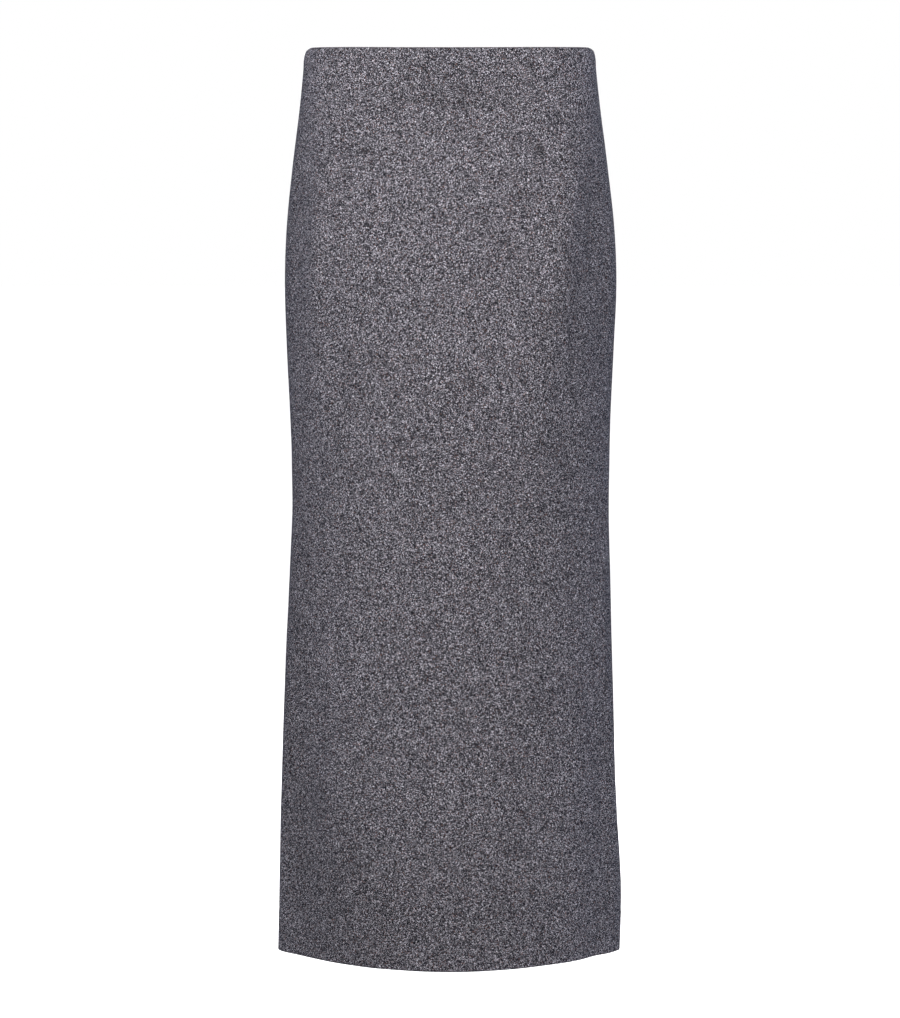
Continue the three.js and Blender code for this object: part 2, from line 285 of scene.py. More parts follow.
class StageLook(bpy.types.PropertyGroup):
    """Camera, lights and floor."""

    distance: bpy.props.FloatProperty(
        name="Distance", description="Camera to the side seams' plane", default=3.5226,
        unit="LENGTH")
    height: bpy.props.FloatProperty(
        name="Height", description="Camera height from the waist", default=-0.1272,
        unit="LENGTH")
    pitch: bpy.props.FloatProperty(
        name="Pitch", description="How far the camera looks down",
        default=math.radians(5.3775), subtype="ANGLE")
    lens: bpy.props.FloatProperty(
        name="Lens", description="Focal length in millimetres", default=124.21)
    key: bpy.props.FloatProperty(
        name="Key", description="Power of the main light in watts", default=61.5)
    fill: bpy.props.FloatProperty(
        name="Fill", description="Strength of the even light all round", default=0.12)
    rim: bpy.props.FloatProperty(
        name="Rim", description="Power of the left side light in watts", default=5.5)
    floor: bpy.props.FloatProperty(
        name="Floor", description="Floor height from the waist", default=-1.16,
        unit="LENGTH")


def smooth(low, high, x):
    """0 below low, 1 above high, and a cubic ease between."""
    t = np.clip((x - low) / (high - low), 0, 1)
    return t * t * (3 - 2 * t)


def bell(distance, spread):
    """A bell curve, 1 at no distance and a third at spread."""
    return np.exp(-(distance / spread) ** 2)


def turn_between(around, angle):
    """The shortest turn from angle to around, in degrees."""
    return (around - angle + 180) % 360 - 180


def ring(column, z):
    """One column of RINGS at heights z: a cubic between rows, with slopes from the neighbours."""
    heights = RINGS["z"]
    values = RINGS[column]
    last = len(RINGS) - 1
    index = np.arange(last + 1)
    up = np.maximum(index - 1, 0)
    down = np.minimum(index + 1, last)
    slopes = (values[down] - values[up]) / (heights[down] - heights[up])
    i = np.clip(np.searchsorted(-heights, -z, side="right") - 1, 0, last - 1)
    step = heights[i + 1] - heights[i]
    t = (z - heights[i]) / step
    start = values[i] * (2 * t**3 - 3 * t**2 + 1)
    end = values[i + 1] * (3 * t**2 - 2 * t**3)
    leave = slopes[i] * step * (t**3 - 2 * t**2 + t)
    reach = slopes[i + 1] * step * (t**3 - t**2)
    return start + end + leave + reach


def skin(around, z):
    """The skin at angles and heights: x is the half width times the sine of the angle, y the
    depth times a mix of the cosine (an ellipse) and its square (a leaf)."""
    angle = np.radians(around)
    c = np.cos(angle)
    half = np.where(np.sin(angle) > 0, ring("left", z), ring("right", z))
    depth = np.where(c > 0, ring("front", z), ring("back", z))
    roundness = ring("round", z)
    y = -np.sign(c) * depth * (roundness * np.abs(c) + (1 - roundness) * c * c)
    return np.stack([half * np.sin(angle), y, z + 0 * c], axis=-1)


def unit(v):
    """Vectors at length 1."""
    return v / np.linalg.norm(v, axis=-1, keepdims=True)


def outward(around, z):
    """The way out of the cloth: across the skin's steps down and round."""
    turn, drop = 0.05, 0.5
    along = skin(around + turn, z) - skin(around - turn, z)
    down = skin(around, z - drop) - skin(around, z + drop)
    return unit(np.cross(down, along))


def waist_shift(around, z):
    """The waist edge rises to the sides, rounds off at the seams and dips at the centre back,
    fading down."""
    fade = np.maximum(0, 1 + z / EDGE_FADE) ** 2
    c = np.cos(np.radians(around))
    fall = np.where(c > 0, SIDE_RISE, SIDE_RISE + BACK_DIP)
    corner = CORNER_DROP * smooth(0.3, 0, np.abs(c))
    return fade * (SIDE_RISE - fall * c * c - corner)


def hem_shift(around, z):
    """The hem lifts a little between the centre front and the sides, fading up."""
    low = smooth(LENGTH - 80, LENGTH, -z)
    return HEM_LIFT * low * np.sin(np.radians(2 * around)) ** 2


def folds(around, z):
    """The folds, hollows and small creases: sums of bell-shaped troughs and ridges."""
    out = np.zeros(np.broadcast(around, z).shape)
    for f in FOLDS:
        out += f["depth"] * bell(around - f["around"], f["wide"]) * bell(z - f["z"], f["tall"])
    for f in CREASES:
        across = turn_between(around, f["around"]) * MM_PER_DEGREE
        up = z - f["z"]
        lean = math.radians(f["tilt"])
        along = up * math.cos(lean) + across * math.sin(lean)
        aside = across * math.cos(lean) - up * math.sin(lean)
        aside = aside - CREASE_BEND * along**2 / f["long"]
        beside = aside - CREASE_BESIDE["away"] * f["wide"]
        trough = bell(aside, f["wide"]) - CREASE_BESIDE["share"] * bell(beside, f["wide"])
        out += f["depth"] * trough * bell(along, f["long"])
    return out


def wander(around, z):
    """The slight unevenness of pressed wool: a few slow waves of unlike lengths, added up."""
    a = np.radians(around)
    waves = (
        0.16 * np.sin(5 * a + 0.7 + z / 61) * np.sin(z / 83 + 1.1)
        + 0.13 * np.sin(11 * a - z / 47 + 2.0)
        + 0.10 * np.sin(17 * a + z / 29 + 0.4) * np.sin(z / 53)
        + 0.07 * np.sin(23 * a - z / 19 + 1.3)
    )
    return waves


def dart_relief(around, z):
    """Each dart is a fine seam that fades to its point, with a ridge on its pressed side and
    a small dimple where it ends."""
    out = np.zeros(np.broadcast(around, z).shape)
    for d in DARTS:
        across = turn_between(around, d["around"]) * MM_PER_DEGREE
        side = np.sign(d["around"]) * np.sign(abs(d["around"]) - 90)
        left = np.sqrt(np.clip(1 + z / d["length"], 0, 1))
        out -= DART_SEAM["deep"] * left * bell(across, DART_SEAM["wide"])
        ridge = bell(across - side * DART_SEAM["spread"], DART_SEAM["spread"])
        out += DART_SEAM["ridge"] * left * ridge
        dimple = bell(across, DIMPLE["wide"]) * bell(z + d["length"], DIMPLE["tall"])
        out -= d["dimple"] * dimple
    return out


def facing_relief(around, z):
    """The cloth stands out over the facing, with a soft step down along its lower edge."""
    span = smooth(FACING["from"] - FACING["fade"], FACING["from"], around)
    span = span * (1 - smooth(FACING["to"], FACING["to"] + FACING["fade"], around))
    edge = FACING["z"] - 3.5 * smooth(20, 50, around)
    above = smooth(edge - FACING["slope"], edge + FACING["slope"], z)
    lip = 0.5 * bell(z - edge - 3.5, 3.0) - 0.6 * bell(z - edge + 3.5, 3.2)
    return FACING["lift"] * span * (above * smooth(10, -30, z) + lip)


def seam_relief(distance):
    """Beside a pressed seam the cloth rolls in at the edge and swells a little further in."""
    roll = SEAM_ROLL["deep"] * bell(distance, SEAM_ROLL["wide"])
    swell = SEAM_ROLL["ridge"] * bell(distance - SEAM_ROLL["press"], SEAM_ROLL["press"] / 2)
    return swell - roll


def paint_shade_and_light(around, z):
    """How much painted shade lies on the cloth: the seams, the turned edges and the painted
    patches added up, each fading like a bell; negative patches paint light instead."""
    out = EDGE_SHADE["turned"] * (bell(z, EDGE_SHADE["wide"])
                                  + bell(z + LENGTH, EDGE_SHADE["wide"]))
    out = out + np.zeros(np.broadcast(around, z).shape)
    for seam in (-90, 90, 180):
        across = turn_between(around, seam) * MM_PER_DEGREE
        out += EDGE_SHADE["seam"] * bell(across, EDGE_SHADE["wide"])
    for m in PAINTED_SHADE_AND_LIGHT:
        across = turn_between(around, m["around"]) * MM_PER_DEGREE
        out += m["dark"] * bell(across, m["wide"]) * bell(z - m["z"], m["tall"])
    return out


def hem_relief(z):
    """The turned-up hem shows as a faint ridge along its top."""
    top = HEM_TURN - LENGTH
    return HEM_LINE["ridge"] * (bell(z - top, HEM_LINE["wide"])
                                - bell(z - top - 3, HEM_LINE["wide"]))


def vent_lift(around, z):
    """The lap of the vent stands a little off the cloth under it, most at the hem."""
    low = smooth(LENGTH - VENT["height"], LENGTH, -z)
    return np.where(around > 90, VENT["lift"] * low * bell(180 - around, VENT["lift_wide"]), 0)


def relief(around, z):
    """How far the cloth stands out from the skin."""
    return (folds(around, z) + wander(around, z) + dart_relief(around, z)
            + facing_relief(around, z) + hem_relief(z) + vent_lift(around, z))


def panel_place(start, end):
    """Gives points on the outer face of the panel between two angles, and the ways out of it:
    the skin, moved out by its relief and rolled in beside the seams."""
    is_back = abs(start + end) > 180

    def place(around, high):
        z = high + waist_shift(around, high) + hem_shift(around, high)
        normal = outward(around, z)
        edge = np.minimum(around - start, end - around) * MM_PER_DEGREE
        out = relief(around, z) + seam_relief(edge)
        point = skin(around, z) + normal * out[..., None]
        half_gap = SEAM_GAP / 2
        point[..., 1] += half_gap if is_back else -half_gap
        if is_back:
            aside = np.maximum(0, -np.cos(np.radians(around)))
            point[..., 0] += np.sign(start + end) * half_gap * aside
        return point, normal

    return place


FRONT_PLACE = panel_place(-90, 90)
LEFT_PLACE = panel_place(90, 180)
RIGHT_PLACE = panel_place(-180, -90)


def smooth_mesh(name, points, faces):
    """A smooth-shaded mesh from points in millimetres and faces."""
    mesh = bpy.data.meshes.new(name)
    mesh.from_pydata((points.reshape(-1, 3) * MM).tolist(), [], faces)
    mesh.polygons.foreach_set("use_smooth", np.ones(len(faces), dtype=bool))
    mesh.update()
    return mesh


def cloth_mesh(name, points, caps, uv, painted_shade_per_point=None):
    """A mesh from a loop of rows over columns. points is rows x columns x 3 in millimetres, the
    last row joins the first, caps pairs the rows that close the two ends, and the painted shade
    given for each point is kept as a point attribute that darkens the cloth."""
    rows, columns = points.shape[:2]
    r, c = np.meshgrid(np.arange(rows), np.arange(columns - 1), indexing="ij")
    below = (r + 1) % rows
    quads = np.stack([r * columns + c, below * columns + c,
                      below * columns + c + 1, r * columns + c + 1], axis=-1).reshape(-1, 4)
    first, second = caps[:-1], caps[1:]
    ends = []
    for column, order in ((0, 1), (columns - 1, -1)):
        loop = np.stack([first[:, 0], first[:, 1], second[:, 1], second[:, 0]], axis=-1)
        ends.append((loop * columns + column)[:, ::order])
    faces = np.concatenate([quads, *ends])
    mesh = smooth_mesh(name, points, faces.tolist())
    corner_uv = uv.reshape(-1, 2)[faces.reshape(-1)]
    layer = mesh.uv_layers.new(name="Weave")
    layer.data.foreach_set("uv", corner_uv.astype(np.float32).reshape(-1))
    # Painted shade per point, read by the tweed's colour.
    if painted_shade_per_point is not None:
        painted_shade_values = mesh.attributes.new("PaintedShade", "FLOAT", "POINT")
        painted_shade_values.data.foreach_set("value", painted_shade_per_point.astype(np.float32).reshape(-1))
    return mesh


def thread_mesh(name, paths, ways, radius, sides=6):
    """Threads or wires: a round section carried along each path, narrowed at both ends. paths
    and ways, the ways out of the cloth, are threads x points x 3 in millimetres."""
    ahead = unit(np.gradient(paths, axis=1))
    aside = unit(np.cross(ahead, ways))
    above = np.cross(aside, ahead)
    turn = np.linspace(0, 2 * np.pi, sides, endpoint=False)[:, None]
    section = np.cos(turn) * aside[:, :, None] + np.sin(turn) * above[:, :, None]
    threads, length = paths.shape[:2]
    size = np.full(length, radius)
    size[[0, -1]] *= 0.5
    points = paths[:, :, None] + section * size[None, :, None, None]
    index = np.arange(points[..., 0].size).reshape(threads, length, sides)
    after = np.roll(index, -1, axis=2)
    quads = np.stack([index[:, :-1], index[:, 1:], after[:, 1:], after[:, :-1]], axis=-1)
    ends = np.concatenate([index[:, 0], index[:, -1, ::-1]])
    return smooth_mesh(name, points, quads.reshape(-1, 4).tolist() + ends.tolist())


def add_piece(mesh, body, material, replaced=()):
    """Links a mesh as a piece that rides on a body, in place of CAD nodes."""
    made = bpy.data.objects.new(mesh.name, mesh)
    bpy.context.scene.collection.objects.link(made)
    mesh.materials.clear()
    mesh.materials.append(material)
    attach(made, body)
    if replaced:
        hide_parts(*replaced)
    return made


def arc_rows(radius, count):
    """Depths and heights of a half round edge from the outer face to the inner one."""
    angle = np.linspace(0, np.pi, count + 2)[1:-1]
    return radius * (1 - np.cos(angle)), radius * np.sin(angle)


def shell(columns, heights, place, thickness, edges, grain):
    """A sheet of cloth with thickness: down the outer face, round the lower edge, up the inner
    face and round the top edge. place gives points and ways out for columns and heights;
    thickness is the depth of the inner face at a height; edges is the points on each edge. The
    weave is laid out by lengths on the cloth, across from the column on the straight grain.
    Also returns the column and height of each point."""
    top, low = heights[0], heights[-1]
    deep = thickness(heights)
    low_in, low_out = arc_rows(deep[-1] / 2, edges)
    top_in, top_out = arc_rows(deep[0] / 2, edges)
    z = np.concatenate([heights, low - low_out, heights[::-1], top + top_out])
    depth = np.concatenate([0 * heights, low_in, deep[::-1], top_in[::-1]])
    around, high = np.meshgrid(columns, z)
    point, normal = place(around, high)
    point = point - normal * depth[:, None, None]
    total = len(z)
    outer = np.arange(len(heights))
    caps = np.stack([outer, total - edges - 1 - outer], axis=-1)
    across = np.linalg.norm(np.diff(point, axis=1), axis=-1)
    u = np.concatenate([np.zeros((total, 1)), np.cumsum(across, axis=1)], axis=1)
    straight = np.abs(columns - grain).argmin()
    u = u - u[:, straight:straight + 1]
    down = np.linalg.norm(np.diff(point, axis=0), axis=-1)
    v = -np.concatenate([np.zeros((1, len(columns))), np.cumsum(down, axis=0)], axis=0)
    return point, caps, np.stack([u, v], axis=-1) * MM, (around, high)


def panel_heights(step):
    """Row heights of a panel, closer at the waist edge, the darts' ends and the hem's top."""
    turn = HEM_TURN - LENGTH
    edge = [-0.9, -2.0, -3.4, -5.2, -7.6]
    upper = np.linspace(-10.5, turn + 2, int(round((-turn - 12.5) / step)))
    beside = np.array([-4.5, -2.7, -0.9, 0.9, 2.7, 4.5])
    close = (beside - np.unique(DARTS["length"])[:, None]).reshape(-1)
    far = np.abs(upper[:, None] - close).min(axis=1) > 0.9
    upper = np.sort(np.concatenate([upper[far], close]))[::-1]
    hem = turn + np.array([0.9, 0.3, -0.3, -0.9])
    lower = np.linspace(turn - 3, -LENGTH + 4, int(round((HEM_TURN - 7) / step)))
    last = -LENGTH + np.array([2.8, 1.8])
    return np.concatenate([edge, upper, hem, lower, last])


def panel_columns(start, end, count):
    """Angles across a panel, closer beside its edges and its darts."""
    even = np.linspace(start, end, count)
    close = np.array([0.35, 0.9, 1.6])
    seams = np.concatenate([start + close, end - close])
    inside = [d for d in DARTS["around"] if start < d < end]
    fine = np.array([-0.9, -0.55, -0.25, 0, 0.25, 0.55, 0.9])
    darts = np.concatenate([d + fine for d in inside])
    extra = np.concatenate([seams, darts])
    keep = np.abs(even[:, None] - extra[None, :]).min(axis=1) > 0.22
    keep[[0, -1]] = True
    return np.sort(np.concatenate([even[keep], extra]))


def cloth_depth(z):
    """How deep the inner face lies: one thickness of cloth, and two where the hem is turned."""
    cloth = bpy.context.scene.skirt_sizes.cloth / MM
    turned = 1 - smooth(-0.7, 0.7, z - (HEM_TURN - LENGTH))
    return cloth * (1 + turned)


def make_panel(name, start, end, count):
    """One panel between two angles, parted from its neighbours by half a seam gap, with the
    hem turned up inside. Its straight grain is at the centre front or the centre back."""
    heights = panel_heights(bpy.context.scene.skirt_sizes.row_step / MM)
    columns = panel_columns(start, end, count)
    grain = start + end if abs(start + end) < 90 else 180 * np.sign(start + end)
    points, caps, uv, grid = shell(columns, heights, panel_place(start, end), cloth_depth, 5,
                                   grain)
    mesh = cloth_mesh(name, points, caps, uv, paint_shade_and_light(*grid))
    made = add_piece(mesh, SKIRT_BODY, stock("Tweed", tweed_material), (name,))
    return made


def back_angle(x, z):
    """The angle round the skirt of a place on the back, x from the centre seam."""
    half = np.where(x > 0, ring("left", z), ring("right", z))
    return np.where(x > 0, 180, -180) - np.degrees(np.arcsin(x / half))


def running_stitches(place, start, finish):
    """Stitches in a row between two places on the back, each across and up in millimetres: each
    rises out of the cloth in half a sine wave and goes in at both ends."""
    sizes = bpy.context.scene.skirt_sizes
    stitch, thread = sizes.stitch / MM, sizes.thread / MM
    gap = 0.28 * stitch
    length = math.dist(start, finish)
    share = np.linspace(0, 1, 7)
    first = np.arange(int(length // (stitch + gap))) * (stitch + gap)
    t = (first[:, None] + stitch * share) / length
    x = start[0] + (finish[0] - start[0]) * t
    z = start[1] + (finish[1] - start[1]) * t
    point, normal = place(back_angle(x, z), z)
    lift = thread * (1.7 * np.sin(np.pi * share) - 0.7)
    return point + normal * lift[:, None], normal


def add_threads(name, rows, radius=None, material=None, sides=6):
    """One piece from rows of threads, each a pair of paths and ways out."""
    paths, ways = (np.concatenate(part) for part in zip(*rows))
    thick = radius or bpy.context.scene.skirt_sizes.thread / MM
    mesh = thread_mesh(name, paths, ways, thick, sides)
    return add_piece(mesh, SKIRT_BODY, material or stock("Thread", thread_material))


class Tree:
    """Adds shader nodes to a tree: each call makes one node and links what it is given."""

    def __init__(self, tree):
        self.tree = tree

    def node(self, kind, inputs=None, **settings):
        made = self.tree.nodes.new(kind)
        for key, value in settings.items():
            setattr(made, key, value)
        for key, value in (inputs or {}).items():
            if isinstance(value, bpy.types.NodeSocket):
                self.tree.links.new(value, made.inputs[key])
            else:
                made.inputs[key].default_value = value
        return made

    def math(self, operation, *values):
        made = self.node("ShaderNodeMath", dict(enumerate(values)), operation=operation)
        return made.outputs[0]

    def vector(self, operation, *values):
        inputs = {i: v for i, v in enumerate(values)}
        made = self.node("ShaderNodeVectorMath", inputs, operation=operation)
        return made.outputs[0]

    def scale(self, vector, factor):
        return self.node("ShaderNodeVectorMath", {0: vector, "Scale": factor},
                         operation="SCALE").outputs[0]

    def mix(self, factor, a, b):
        made = self.node("ShaderNodeMix", {0: factor, 2: a, 3: b}, data_type="FLOAT")
        return made.outputs[0]

    def mix_colour(self, factor, a, b):
        made = self.node("ShaderNodeMix", {0: factor, 6: a, 7: b}, data_type="RGBA")
        return made.outputs[2]

    def split(self, vector):
        return self.node("ShaderNodeSeparateXYZ", {0: vector}).outputs

    def join(self, x=0.0, y=0.0, z=0.0):
        return self.node("ShaderNodeCombineXYZ", {0: x, 1: y, 2: z}).outputs[0]

    def noise(self, vector, scale, detail=2.0, roughness=0.5, dimensions="3D"):
        return self.node("ShaderNodeTexNoise", {"Vector": vector, "Scale": scale,
                                                "Detail": detail, "Roughness": roughness},
                         noise_dimensions=dimensions).outputs

    def ramp(self, factor, stops):
        made = self.node("ShaderNodeValToRGB", {0: factor})
        elements = made.color_ramp.elements
        while len(elements) < len(stops):
            elements.new(0.5)
        for element, (position, colour) in zip(elements, stops):
            element.position = position
            element.color = (*colour, 1)
        return made.outputs[0]

    def shade(self, colour, tone):
        return self.vector("MULTIPLY", colour, self.join(tone, tone, tone))

    def on_object(self):
        return self.node("ShaderNodeTexCoord").outputs["Object"]

    def on_cloth(self):
        return self.node("ShaderNodeUVMap", uv_map="Weave").outputs[0]

    def shared(self, name, make, inputs):
        """Places a node group by name, made the first time it is asked for."""
        group = bpy.data.node_groups.get(name) or make()
        return self.node("ShaderNodeGroup", inputs, node_tree=group).outputs


def new_group(name, inputs, outputs):
    """A shader node group with named sockets, and a Tree to fill it."""
    group = bpy.data.node_groups.new(name, "ShaderNodeTree")
    for label, kind, default in inputs:
        socket = group.interface.new_socket(label, in_out="INPUT", socket_type=kind)
        if default is not None:
            socket.default_value = default
    for label, kind in outputs:
        group.interface.new_socket(label, in_out="OUTPUT", socket_type=kind)
    tree = Tree(group)
    return group, tree, tree.node("NodeGroupInput").outputs


def finish_group(tree, values):
    """Links the group's outputs."""
    out = tree.node("NodeGroupOutput")
    for label, value in values.items():
        tree.tree.links.new(value, out.inputs[label])


def twill_group():
    """A two and two twill: each yarn floats over two and dives under two, one step along in
    each row, so the floats lie in slanting lines. Float is a random number for each float,
    Marl one for each clump of wool along the yarn, Tint a third for the same clump, Height the
    rounded form of the float, Strand a streak along the yarn and Knot a random number for
    each patch two or three yarns wide."""
    group, t, given = new_group(
        "Twill weave",
        [("Vector", "NodeSocketVector", None), ("Pitch", "NodeSocketFloat", 0.0008),
         ("Wander", "NodeSocketFloat", 0.5)],
        [("Float", "NodeSocketFloat"), ("Marl", "NodeSocketFloat"),
         ("Tint", "NodeSocketFloat"), ("Height", "NodeSocketFloat"),
         ("Strand", "NodeSocketFloat"), ("Knot", "NodeSocketFloat")])
    per_metre = t.math("DIVIDE", 1.0, given["Pitch"])
    scaled = t.scale(given["Vector"], per_metre)
    sway = t.noise(scaled, 0.19, 2.0, 0.6, "2D")["Color"]
    offset = t.vector("SUBTRACT", sway, (0.5, 0.5, 0.5))
    moved = t.vector("ADD", scaled, t.scale(offset, given["Wander"]))
    a, b, _ = t.split(moved)
    i, j = t.math("FLOOR", a), t.math("FLOOR", b)
    fa, fb = t.math("FRACT", a), t.math("FRACT", b)
    k = t.math("SUBTRACT", i, j)
    step = t.math("FLOORED_MODULO", k, 4.0)
    run = t.math("FLOOR", t.math("DIVIDE", k, 4.0))
    warp = t.math("LESS_THAN", step, 1.5)
    warp_along = t.math("MULTIPLY", t.math("ADD", t.math("SUBTRACT", step, fb), 1.0), 0.5)
    weft_along = t.math("MULTIPLY", t.math("ADD", t.math("SUBTRACT", step, 2.0), fa), 0.5)
    along = t.mix(warp, weft_along, warp_along)
    across = t.mix(warp, fb, fa)
    yarn = t.mix(warp, j, i)
    identity = t.join(yarn, run, warp)
    random = t.node("ShaderNodeTexWhiteNoise", {"Vector": identity}, noise_dimensions="3D")
    side = t.math("ABSOLUTE", t.math("MULTIPLY_ADD", across, 2.0, -1.0))
    end = t.math("ABSOLUTE", t.math("MULTIPLY_ADD", along, 2.0, -1.0))
    dome = t.math("SQRT", t.math("SUBTRACT", 1.0, t.math("POWER", side, 2.0)))
    dive = t.math("SUBTRACT", 1.0, t.math("POWER", end, 3.0))
    height = t.math("MULTIPLY", dome, dive)
    lengthwise = t.mix(warp, b, a)
    crosswise = t.mix(warp, a, b)
    streak_at = t.join(t.math("MULTIPLY", crosswise, 3.2),
                       t.math("MULTIPLY", lengthwise, 0.7), t.math("MULTIPLY", warp, 9.0))
    strand = t.noise(streak_at, 1.0, 3.0, 0.65)[0]
    clump_at = t.join(t.math("MULTIPLY_ADD", warp, 57.3, crosswise), lengthwise)
    clump = t.node("ShaderNodeTexVoronoi", {"Vector": clump_at, "Scale": 1.0},
                   voronoi_dimensions="2D").outputs["Color"]
    marl, tint, _ = t.split(clump)
    knot = t.node("ShaderNodeTexVoronoi", {"Vector": moved, "Scale": 0.47},
                  voronoi_dimensions="2D").outputs["Color"]
    finish_group(t, {"Float": random.outputs["Value"], "Marl": marl, "Tint": tint,
                     "Height": height, "Strand": strand, "Knot": t.split(knot)[0]})
    return group


def fibre_group():
    """Loose wool fibres lying over the weave: thin streaks in three directions, each a stretched
    noise cut to a narrow band."""
    group, t, given = new_group(
        "Loose fibres",
        [("Vector", "NodeSocketVector", None), ("Fineness", "NodeSocketFloat", 900.0)],
        [("Fibre", "NodeSocketFloat")])
    masks = []
    for lean, seed in ((0.7, 3.1), (-0.5, 8.7), (1.9, 5.3)):
        turned = t.node("ShaderNodeVectorRotate",
                        {"Vector": given["Vector"], "Angle": lean},
                        rotation_type="Z_AXIS").outputs[0]
        stretched = t.vector("MULTIPLY", turned, (1.0, 0.09, 1.0))
        shifted = t.vector("ADD", stretched, (seed, seed, 0.0))
        value = t.noise(t.scale(shifted, given["Fineness"]), 1.0, 1.0, 0.5, "2D")[0]
        thin = t.node("ShaderNodeMapRange", {"Value": value, "From Min": 0.63,
                                             "From Max": 0.74}).outputs[0]
        masks.append(thin)
    both = t.math("MAXIMUM", masks[0], masks[1])
    finish_group(t, {"Fibre": t.math("MAXIMUM", both, masks[2])})
    return group


def mottle_group():
    """Slow changes of tone over cloth or metal, as from pressing and wear."""
    group, t, given = new_group(
        "Mottle",
        [("Vector", "NodeSocketVector", None), ("Size", "NodeSocketFloat", 0.05),
         ("Amount", "NodeSocketFloat", 0.1)],
        [("Tone", "NodeSocketFloat")])
    scale = t.math("DIVIDE", 1.0, given["Size"])
    value = t.noise(given["Vector"], scale, 3.0, 0.55)[0]
    centred = t.math("MULTIPLY", t.math("SUBTRACT", value, 0.5), given["Amount"])
    finish_group(t, {"Tone": t.math("ADD", centred, 1.0)})
    return group


def new_material(name, roughness, metallic=0.0, **shader):
    """A material with its Principled shader and a Tree to fill it."""
    material = bpy.data.materials.new(name)
    material.use_nodes = True
    t = Tree(material.node_tree)
    principled = material.node_tree.nodes["Principled BSDF"]
    principled.inputs["Roughness"].default_value = roughness
    principled.inputs["Metallic"].default_value = metallic
    for key, value in shader.items():
        principled.inputs[key.replace("_", " ")].default_value = value
    return material, t, principled


def feed(t, principled, **sources):
    """Links values to the shader's inputs. An underscore stands for a space in a name."""
    for key, value in sources.items():
        t.tree.links.new(value, principled.inputs[key.replace("_", " ")])


def bump(t, principled, height, distance):
    """Feeds a height into the shader's normal."""
    made = t.node("ShaderNodeBump", {"Height": height, "Distance": distance})
    feed(t, principled, Normal=made.outputs[0])


def tweed_material():
    """Salt-and-pepper tweed: clumps of wool along the yarns of the twill take a tone from near
    black to near white, with a few rust flecks and loose fibres over all."""
    look = bpy.context.scene.skirt_tweed
    material, t, principled = new_material("Tweed", 0.95, Specular_IOR_Level=0.08,
                                           Sheen_Weight=0.06, Sheen_Roughness=0.4)
    principled.inputs["Sheen Tint"].default_value = (0.62, 0.68, 1.0, 1)
    uv = t.on_cloth()
    weave = t.shared("Twill weave", twill_group,
                     {"Vector": uv, "Pitch": look.yarn, "Wander": 1.1})
    loose = t.shared("Loose fibres", fibre_group, {"Vector": uv, "Fineness": 3600.0})
    slow = t.shared("Mottle", mottle_group, {"Vector": uv, "Size": 0.027, "Amount": 0.4})
    strand = t.math("MULTIPLY_ADD", weave["Strand"], 0.24, -0.12)
    clump = t.math("MULTIPLY_ADD", weave["Marl"], 0.58, strand)
    even = t.math("MULTIPLY_ADD", weave["Float"], 0.42, clump)
    pale = t.math("GREATER_THAN", weave["Knot"], 0.935)
    inky = t.math("LESS_THAN", weave["Knot"], 0.1)
    knotted = t.math("MULTIPLY_ADD", pale, 0.24, even)
    tone = t.math("MULTIPLY_ADD", inky, -0.24, knotted)
    dark, middle, light = (np.array(c) for c in (look.dark, look.middle, look.light))
    base = t.ramp(tone, [
        (0.0, dark),
        (0.36, 0.05 * middle),
        (0.52, 0.25 * middle),
        (0.65, middle),
        (0.77, middle + 0.45 * (light - middle)),
        (0.89, light),
    ])
    rusty = t.math("LESS_THAN", weave["Tint"], look.rust_share)
    warm = t.mix_colour(rusty, base, (*look.rust, 1))
    haired = t.mix_colour(t.math("MULTIPLY", loose["Fibre"], 0.15), warm,
                          (0.5, 0.49, 0.53, 1))
    # Painted shade, and painted highlights where negative, from the point attribute, times the
    # slow mottle of the wool.
    painted_shade_values = t.node("ShaderNodeAttribute", attribute_name="PaintedShade").outputs["Fac"]
    mottle_and_painted_shade = t.math("MULTIPLY", slow["Tone"], t.math("SUBTRACT", 1.0, painted_shade_values))
    relief_shade = t.math("MULTIPLY_ADD", weave["Height"], 0.6, 0.5)
    feed(t, principled, Base_Color=t.shade(t.shade(haired, mottle_and_painted_shade), relief_shade))
    height = t.math("ADD", t.math("MULTIPLY_ADD", weave["Strand"], 0.5, weave["Height"]),
                    t.math("MULTIPLY", loose["Fibre"], 0.6))
    bump(t, principled, height, 0.00012)
    return material


def tape_material():
    """Close-woven zip tape: fine ribs with painted shade between them and a slow change of tone.
    """
    material, t, principled = new_material("Zip tape", 0.8, Sheen_Weight=0.1)
    uv = t.on_cloth()
    weave = t.shared("Twill weave", twill_group,
                     {"Vector": uv, "Pitch": 0.00042, "Wander": 0.15})
    slow = t.shared("Mottle", mottle_group, {"Vector": uv, "Size": 0.01, "Amount": 0.25})
    # Painted shade in the gaps between the ribs: the weave's height darkens the colour, times the
    # slow mottle.
    tone = t.math("MULTIPLY", t.math("MULTIPLY_ADD", weave["Height"], 0.5, 0.6), slow["Tone"])
    feed(t, principled, Base_Color=t.shade((0.055, 0.052, 0.062), tone))
    bump(t, principled, weave["Height"], 0.00012)
    return material


def metal_material():
    """Dark enamelled zip metal, slowly mottled and finely scratched."""
    material, t, principled = new_material("Zip metal", 0.36, 0.85, Coat_Weight=0.25)
    at = t.on_object()
    slow = t.shared("Mottle", mottle_group, {"Vector": at, "Size": 0.004, "Amount": 0.5})
    scratch = t.noise(t.vector("MULTIPLY", at, (9.0, 1.0, 1.0)), 900.0, 2.0, 0.6)[0]
    tone = t.math("MULTIPLY", slow["Tone"], t.math("MULTIPLY_ADD", scratch, 0.5, 0.75))
    rough = t.math("MULTIPLY_ADD", scratch, 0.25, 0.25)
    feed(t, principled, Base_Color=t.shade((0.19, 0.187, 0.2), tone), Roughness=rough)
    bump(t, principled, scratch, 0.00004)
    return material


